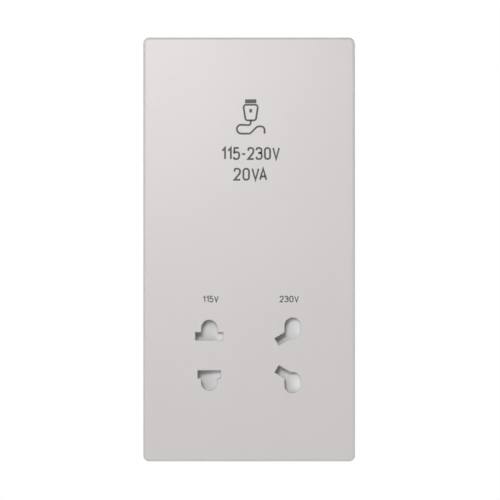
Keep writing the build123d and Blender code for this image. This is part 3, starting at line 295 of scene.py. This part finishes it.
def platedMetal(name, look):
    # bright metal with fine rolled or turned lines and faint clouds of tarnish
    finish, tree, shader, where = startFinish(name)
    cloud = addNoise(tree, where, look.get("cloudSize", 6 * mm), 3.0)
    lines = addNoise(tree, where, look["lineSize"], 2.0, look["lineStretch"])
    tree.links.new(tint(tree, cloud, look["colour"], look["change"]), shader.inputs["Base Color"])
    tree.links.new(spread(tree, lines, *look["roughness"]), shader.inputs["Roughness"])
    rounded = softEdges(tree, look.get("edge", 0.1 * mm))
    tree.links.new(addBump(tree, lines, look["lineDepth"], rounded), shader.inputs["Normal"])
    shader.inputs["Metallic"].default_value = 1.0
    return finish


def bandedFinish(name, look):
    # stacked sheets or wound turns: a ridge every pitch across one axis
    finish, tree, shader, where = startFinish(name)
    bands = addBands(tree, where, look["axis"], look["pitch"], look.get("distortion", 0.0))
    cloud = addNoise(tree, where, look.get("cloudSize", 5 * mm))
    mixed = addMath(tree, "MULTIPLY", bands, cloud)
    tree.links.new(tint(tree, mixed, look["colour"], look["change"]), shader.inputs["Base Color"])
    tree.links.new(spread(tree, cloud, *look["roughness"]), shader.inputs["Roughness"])
    rounded = softEdges(tree, look.get("edge", 0.1 * mm))
    tree.links.new(addBump(tree, bands, look["ridge"], rounded), shader.inputs["Normal"])
    shader.inputs["Metallic"].default_value = look["metallic"]
    shader.inputs["Coat Weight"].default_value = look["coat"]
    shader.inputs["Coat Roughness"].default_value = coatRoughness
    return finish


def dress(finish, slotName, *nodeNames):
    # smooth across gentle curves, crisp at real edges, and the finish in every slot
    for nodeName in nodeNames:
        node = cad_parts[nodeName]
        node.data.shade_smooth()
        node.data.set_sharp_from_angle(angle=creaseAngle)
        if not node.material_slots:
            node.data.materials.append(finish)
        for place in node.material_slots:
            place.material = finish


# Cover plate: warm light grey, satin
coverPlate = {
    "colour": (0.6, 0.575, 0.569),
    "change": 0.008,
    "roughness": (0.36, 0.42),
    "grainSize": 0.3 * mm,
    "grainDepth": 0.003 * mm,
    "edge": 0.22 * mm,
    "ior": 1.47,
}
dress(mouldedPlastic("coverPlastic", coverPlate), "cover_plastic", "cover_plate")

# Shutters behind the pin holes: bright white, slippery
shutter = {
    "colour": (0.96, 0.96, 0.955),
    "change": 0.004,
    "roughness": (0.38, 0.44),
    "grainSize": 0.4 * mm,
    "grainDepth": 0.002 * mm,
    "glow": 0.8,  # how far light spreads inside, in mm
}
dress(mouldedPlastic("shutterPlastic", shutter), "shutter_plastic", "shutter_115", "shutter_230")

# Socket body, shutter frame and contact retainer: off-white, heat resistant
socketBody = {
    "colour": (0.72, 0.72, 0.69),
    "change": 0.02,
    "roughness": (0.42, 0.5),
    "grainSize": 0.35 * mm,
    "grainDepth": 0.006 * mm,
}
dress(
    mouldedPlastic("bodyPlastic", socketBody),
    "body_plastic",
    "socket_body",
    "shutter_frame",
    "contact_retainer",
)

# Rear housing: dark grey with a spark-eroded mould texture
rearHousing = {
    "colour": (0.042, 0.043, 0.046),
    "change": 0.12,
    "roughness": (0.42, 0.56),
    "grainSize": 0.22 * mm,
    "grainDepth": 0.02 * mm,
    "edge": 0.25 * mm,
}
dress(mouldedPlastic("housingPlastic", rearHousing), "housing_plastic", "rear_housing")

# Mounting yoke: zinc plated sheet
mountingYoke = {
    "colour": (0.60, 0.61, 0.63),
    "change": 0.06,
    "roughness": (0.26, 0.42),
    "lineSize": 0.12 * mm,
    "lineStretch": (1, 1, 40),
    "lineDepth": 0.004 * mm,
    "edge": 0.2 * mm,
}
dress(platedMetal("zincSteel", mountingYoke), "zinc_steel", "mounting_yoke")

# Screws and dowels
screws = {
    "colour": (0.58, 0.59, 0.60),
    "change": 0.05,
    "roughness": (0.2, 0.34),
    "lineSize": 0.08 * mm,
    "lineStretch": (1, 1, 1),
    "lineDepth": 0.004 * mm,
    "edge": 0.12 * mm,
}
dress(
    platedMetal("screwSteel", screws),
    "screw_steel",
    "housing_screws",
    "core_screws",
    "block_screw",
    "terminal_screws",
    "switch_dowels",
)

# Contacts: sprung bronze strip
contacts = {
    "colour": (0.62, 0.34, 0.16),
    "change": 0.08,
    "roughness": (0.2, 0.34),
    "lineSize": 0.08 * mm,
    "lineStretch": (1, 30, 1),
    "lineDepth": 0.003 * mm,
}
dress(
    platedMetal("contactBronze", contacts),
    "contact_bronze",
    "contact_115_upper",
    "contact_115_lower",
    "contact_230_upper",
    "contact_230_lower",
)

# Shutter springs: drawn wire
springs = {
    "colour": (0.55, 0.55, 0.56),
    "change": 0.04,
    "roughness": (0.18, 0.3),
    "lineSize": 0.05 * mm,
    "lineStretch": (1, 1, 1),
    "lineDepth": 0.002 * mm,
    "edge": 0.02 * mm,
}
springFinish = platedMetal("springSteel", springs)
dress(springFinish, "spring_steel", "shutter_spring_115", "shutter_spring_230")

# A copy, carried with the frame, stands for each spring
for volts in ("115", "230"):
    node = "shutter_spring_" + volts
    coil = bpy.data.objects.new("spring" + volts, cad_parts[node].data.copy())
    scene.collection.objects.link(coil)
    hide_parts(node)
    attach(coil, "frame")
    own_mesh(coil)

# Terminals: machined brass
terminals = {
    "colour": (0.66, 0.44, 0.14),
    "change": 0.07,
    "roughness": (0.2, 0.36),
    "lineSize": 0.1 * mm,
    "lineStretch": (25, 1, 1),
    "lineDepth": 0.004 * mm,
    "edge": 0.15 * mm,
}
dress(
    platedMetal("terminalBrass", terminals),
    "terminal_brass",
    "terminal_live",
    "terminal_neutral",
    "earth_terminal",
)

# Terminal block: white glass-filled
terminalBlock = {
    "colour": (0.78, 0.78, 0.75),
    "change": 0.02,
    "roughness": (0.4, 0.5),
    "grainSize": 0.25 * mm,
    "grainDepth": 0.008 * mm,
    "edge": 0.15 * mm,
}
dress(mouldedPlastic("blockPlastic", terminalBlock), "block_plastic", "terminal_block")

# Microswitches: black cases, red plungers
switchCase = {
    "colour": (0.012, 0.012, 0.012),
    "change": 0.1,
    "roughness": (0.34, 0.44),
    "grainSize": 0.2 * mm,
    "grainDepth": 0.006 * mm,
}
dress(
    mouldedPlastic("switchPlastic", switchCase),
    "switch_plastic",
    "microswitch_115",
    "microswitch_230",
)
switchPlunger = dict(switchCase, colour=(0.42, 0.016, 0.012), change=0.04)
dress(
    mouldedPlastic("plungerPlastic", switchPlunger),
    "plunger_plastic",
    "plunger_115",
    "plunger_230",
)

# Transformer: varnished core sheets, enamelled wire, film tape, moulded bobbin
coreStack = {
    "colour": (0.11, 0.11, 0.115),
    "change": 0.5,
    "roughness": (0.35, 0.5),
    "axis": "Y",
    "pitch": 0.5 * mm,
    "ridge": 0.05 * mm,
    "metallic": 0.8,
    "coat": 0.3,
}
dress(bandedFinish("coreSteel", coreStack), "core_steel", "transformer_core")
coilWire = {
    "colour": (0.62, 0.22, 0.08),
    "change": 0.35,
    "roughness": (0.22, 0.34),
    "axis": "Z",
    "pitch": 0.3 * mm,
    "ridge": 0.08 * mm,
    "distortion": 0.3,
    "metallic": 0.9,
    "coat": 0.6,
}
dress(
    bandedFinish("copperWire", coilWire), "copper_wire", "primary_winding", "secondary_winding"
)
coilTape = {
    "colour": (0.66, 0.42, 0.03),
    "change": 0.12,
    "roughness": (0.2, 0.3),
    "axis": "Z",
    "pitch": 6.0 * mm,
    "ridge": 0.05 * mm,
    "metallic": 0.0,
    "coat": 0.8,
}
dress(bandedFinish("tapeFilm", coilTape), "tape_film", "winding_tape")
coilFormer = dict(socketBody, colour=(0.74, 0.72, 0.60))
dress(mouldedPlastic("bobbinPlastic", coilFormer), "bobbin_plastic", "bobbin")
cutoutCase = dict(socketBody, colour=(0.68, 0.66, 0.60), roughness=(0.3, 0.4))
dress(mouldedPlastic("cutoutShell", cutoutCase), "cutout_case", "thermal_cutout")

# Leads: smooth PVC sleeving in the colours of the wiring
sleeving = {
    "change": 0.05,
    "roughness": (0.3, 0.4),
    "grainSize": 0.5 * mm,
    "grainDepth": 0.004 * mm,
    "edge": 0.02 * mm,
}
leadColours = {
    "lead_brown": (
        (0.09, 0.03, 0.012),
        ["lead_live_115", "lead_live_230", "lead_cutout_in", "lead_cutout_out", "lead_switch_link"],
    ),
    "lead_blue": ((0.012, 0.06, 0.30), ["lead_neutral"]),
    "lead_red": ((0.42, 0.014, 0.012), ["lead_secondary_115", "lead_secondary_230"]),
    "lead_black": ((0.010, 0.010, 0.010), ["lead_secondary_common", "lead_contact_link"]),
}
for slotName, (colour, nodeNames) in leadColours.items():
    dress(mouldedPlastic(slotName + "Sleeving", dict(sleeving, colour=colour)), slotName, *nodeNames)
print("finishes ready")


# Printed marks, drawn as flat strokes in millimetres across and up the face
ink = {
    "colour": (0.066, 0.066, 0.064),
    "change": 0.06,
    "roughness": (0.5, 0.6),
    "grainSize": 0.15 * mm,
    "grainDepth": 0.002 * mm,
    "rise": 0.02,
    "buried": 0.05,
}

# Strokes of each sign in a box one unit high; a third number is the corner's own radius
signs = {
    "0": (0.46, [[(0, 0), (0.46, 0), (0.46, 1), (0, 1), "closed"]]),
    "1": (0.24, [[(0, 0.74, 0), (0.24, 1, 0), (0.24, 0)]]),
    "2": (0.46, [[(0.01, 0.74), (0.01, 1), (0.45, 1), (0.45, 0.6), (0, 0, 0), (0.48, 0)]]),
    "3": (
        0.46,
        [
            [(0.01, 0.78), (0.01, 1), (0.44, 1), (0.44, 0.54), (0.16, 0.54)],
            [(0.16, 0.54), (0.46, 0.54), (0.46, 0), (0, 0), (0, 0.22)],
        ],
    ),
    "5": (
        0.46,
        [
            [(0.43, 1), (0.05, 1, 0), (0.02, 0.5)],
            [(0.02, 0.5), (0.1, 0.62, 0.1), (0.46, 0.62), (0.46, 0), (0, 0), (0, 0.2)],
        ],
    ),
    "A": (0.52, [[(0, 0), (0.26, 1, 0), (0.52, 0)], [(0.1, 0.3), (0.42, 0.3)]]),
    "V": (0.52, [[(0, 1), (0.26, 0, 0), (0.52, 1)]]),
    "-": (0.26, [[(0, 0.45), (0.26, 0.45)]]),
}
signRadius = 0.23
signGap = 0.27
tightPairs = {"VA": 0.16}  # a sloping pair stands closer
turnStep = math.radians(10)
mitreLimit = 0.35  # least share of a mitre, so that a sharp corner has no long point


def roundedPath(corners, radius):
    # straight runs, each corner turned on an arc; "closed" at the end joins last to first
    closed = corners[-1] == "closed"
    corners = corners[:-1] if closed else corners
    points = []
    for i, corner in enumerate(corners):
        here = Vector(corner[:2])
        turn = corner[2] if len(corner) > 2 else radius
        if turn == 0 or (not closed and i in (0, len(corners) - 1)):
            points.append(here)
            continue
        back = Vector(corners[i - 1][:2]) - here
        ahead = Vector(corners[(i + 1) % len(corners)][:2]) - here
        half = back.angle(ahead) / 2
        reach = min(turn / math.tan(half), back.length * 0.5, ahead.length * 0.5)
        middle = here + (back.normalized() + ahead.normalized()).normalized() * reach / math.cos(half)
        arm = here + back.normalized() * reach - middle
        sweep = arm.angle_signed(here + ahead.normalized() * reach - middle)
        steps = max(2, math.ceil(abs(sweep) / turnStep))
        for step in range(steps + 1):
            angle = -sweep * step / steps
            turned = Vector(
                (
                    arm.x * math.cos(angle) - arm.y * math.sin(angle),
                    arm.x * math.sin(angle) + arm.y * math.cos(angle),
                )
            )
            points.append(middle + turned)
    spaced = [p for i, p in enumerate(points) if i == 0 or (p - points[i - 1]).length > 1e-4]
    return spaced, closed


def layStroke(bm, points, closed, width, surfaceY, rise, buried):
    # a flat bar along the points, mitred at corners, standing rise above the surface
    rings = []
    count = len(points)
    for i, point in enumerate(points):
        back = point - points[i - 1] if closed or i > 0 else points[1] - point
        ahead = points[(i + 1) % count] - point if closed or i < count - 1 else back
        along = (back.normalized() + ahead.normalized()).normalized()
        across = Vector((-along.y, along.x))
        square = Vector((-back.y, back.x)).normalized()
        across *= width / 2 / max(across.dot(square), mitreLimit)
        ring = []
        for side, depth in ((1, -rise), (-1, -rise), (-1, buried), (1, buried)):
            flat = (point + across * side) * mm
            ring.append(bm.verts.new((flat.x, surfaceY + depth * mm, flat.y)))
        rings.append(ring)
    for i in range(count if closed else count - 1):
        first, second = rings[i], rings[(i + 1) % count]
        for k in range(4):
            bm.faces.new((first[k], first[(k + 1) % 4], second[(k + 1) % 4], second[k]))
    if not closed:
        bm.faces.new(rings[0])
        bm.faces.new(reversed(rings[-1]))


def finishMark(bm, name, finish, body):
    bmesh.ops.recalc_face_normals(bm, faces=bm.faces)
    mesh = bpy.data.meshes.new(name)
    bm.to_mesh(mesh)
    bm.free()
    mesh.materials.append(finish)
    mark = bpy.data.objects.new(name, mesh)
    scene.collection.objects.link(mark)
    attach(mark, body)


def writeNumbers(name, text, centre, size, stroke, finish, surfaceY):
    # text stretched to fill a width and height, in signs of one stroke width
    high = size[1] - stroke
    gaps = [signGap - tightPairs.get(text[i : i + 2], 0) for i in range(len(text) - 1)] + [0]
    natural = sum(signs[letter][0] for letter in text) + sum(gaps)
    widen = (size[0] - stroke) / (natural * high)
    bm = bmesh.new()
    start = -natural / 2
    for letter, gap in zip(text, gaps):
        width, strokes = signs[letter]
        for corners in strokes:
            points, closed = roundedPath(corners, signRadius)
            placed = [
                Vector((centre[0] + (start + p.x) * high * widen, centre[1] + (p.y - 0.5) * high))
                for p in points
            ]
            layStroke(bm, placed, closed, stroke, surfaceY, ink["rise"], ink["buried"])
        start += width + gap
    finishMark(bm, name, finish, "frame")


# What is printed: place, overall size and stroke width in millimetres
numbers = {
    "supplyMark": {"text": "115-230V", "centre": (0.5, 31.9), "size": (19.5, 4.3), "stroke": 0.62},
    "loadMark": {"text": "20VA", "centre": (0.4, 25.0), "size": (11.2, 4.3), "stroke": 0.62},
    "mark115": {"text": "115V", "centre": (-12.8, -16.5), "size": (5.2, 2.2), "stroke": 0.34},
    "mark230": {"text": "230V", "centre": (13.3, -16.5), "size": (6.4, 2.2), "stroke": 0.34},
}
inkFinish = mouldedPlastic("printInk", ink)
for name, mark in numbers.items():
    writeNumbers(name, mark["text"], mark["centre"], mark["size"], mark["stroke"], inkFinish, faceY)

# Sign for shavers: an upright shaver with a looped lead
shaverSign = {
    "centre": (0.5, 44.5),
    "stroke": 0.62,
    "lines": [
        ([(-1.7, -1.6), (1.7, -1.6), (2.5, 3.6), (-2.5, 3.6), "closed"], 0.9, 0.62),
        ([(-1.9, 4.75), (1.9, 4.75)], 0, 1.3),
        ([(0, 1.0), (0, 2.2)], 0, 0.9),
        (
            [
                (0, -1.6),
                (0, -3.2),
                (-4.6, -3.0),
                (-4.6, -6.0),
                (-0.2, -6.0),
                (2.2, -3.6),
                (4.6, -3.6),
                (4.6, -6.0),
            ],
            1.5,
            0.62,
        ),
    ],
}
bm = bmesh.new()
for corners, radius, stroke in shaverSign["lines"]:
    points, closed = roundedPath(corners, radius)
    placed = [p + Vector(shaverSign["centre"]) for p in points]
    layStroke(bm, placed, closed, stroke, faceY, ink["rise"], ink["buried"])
finishMark(bm, "shaverMark", inkFinish, "frame")
print("marks ready")
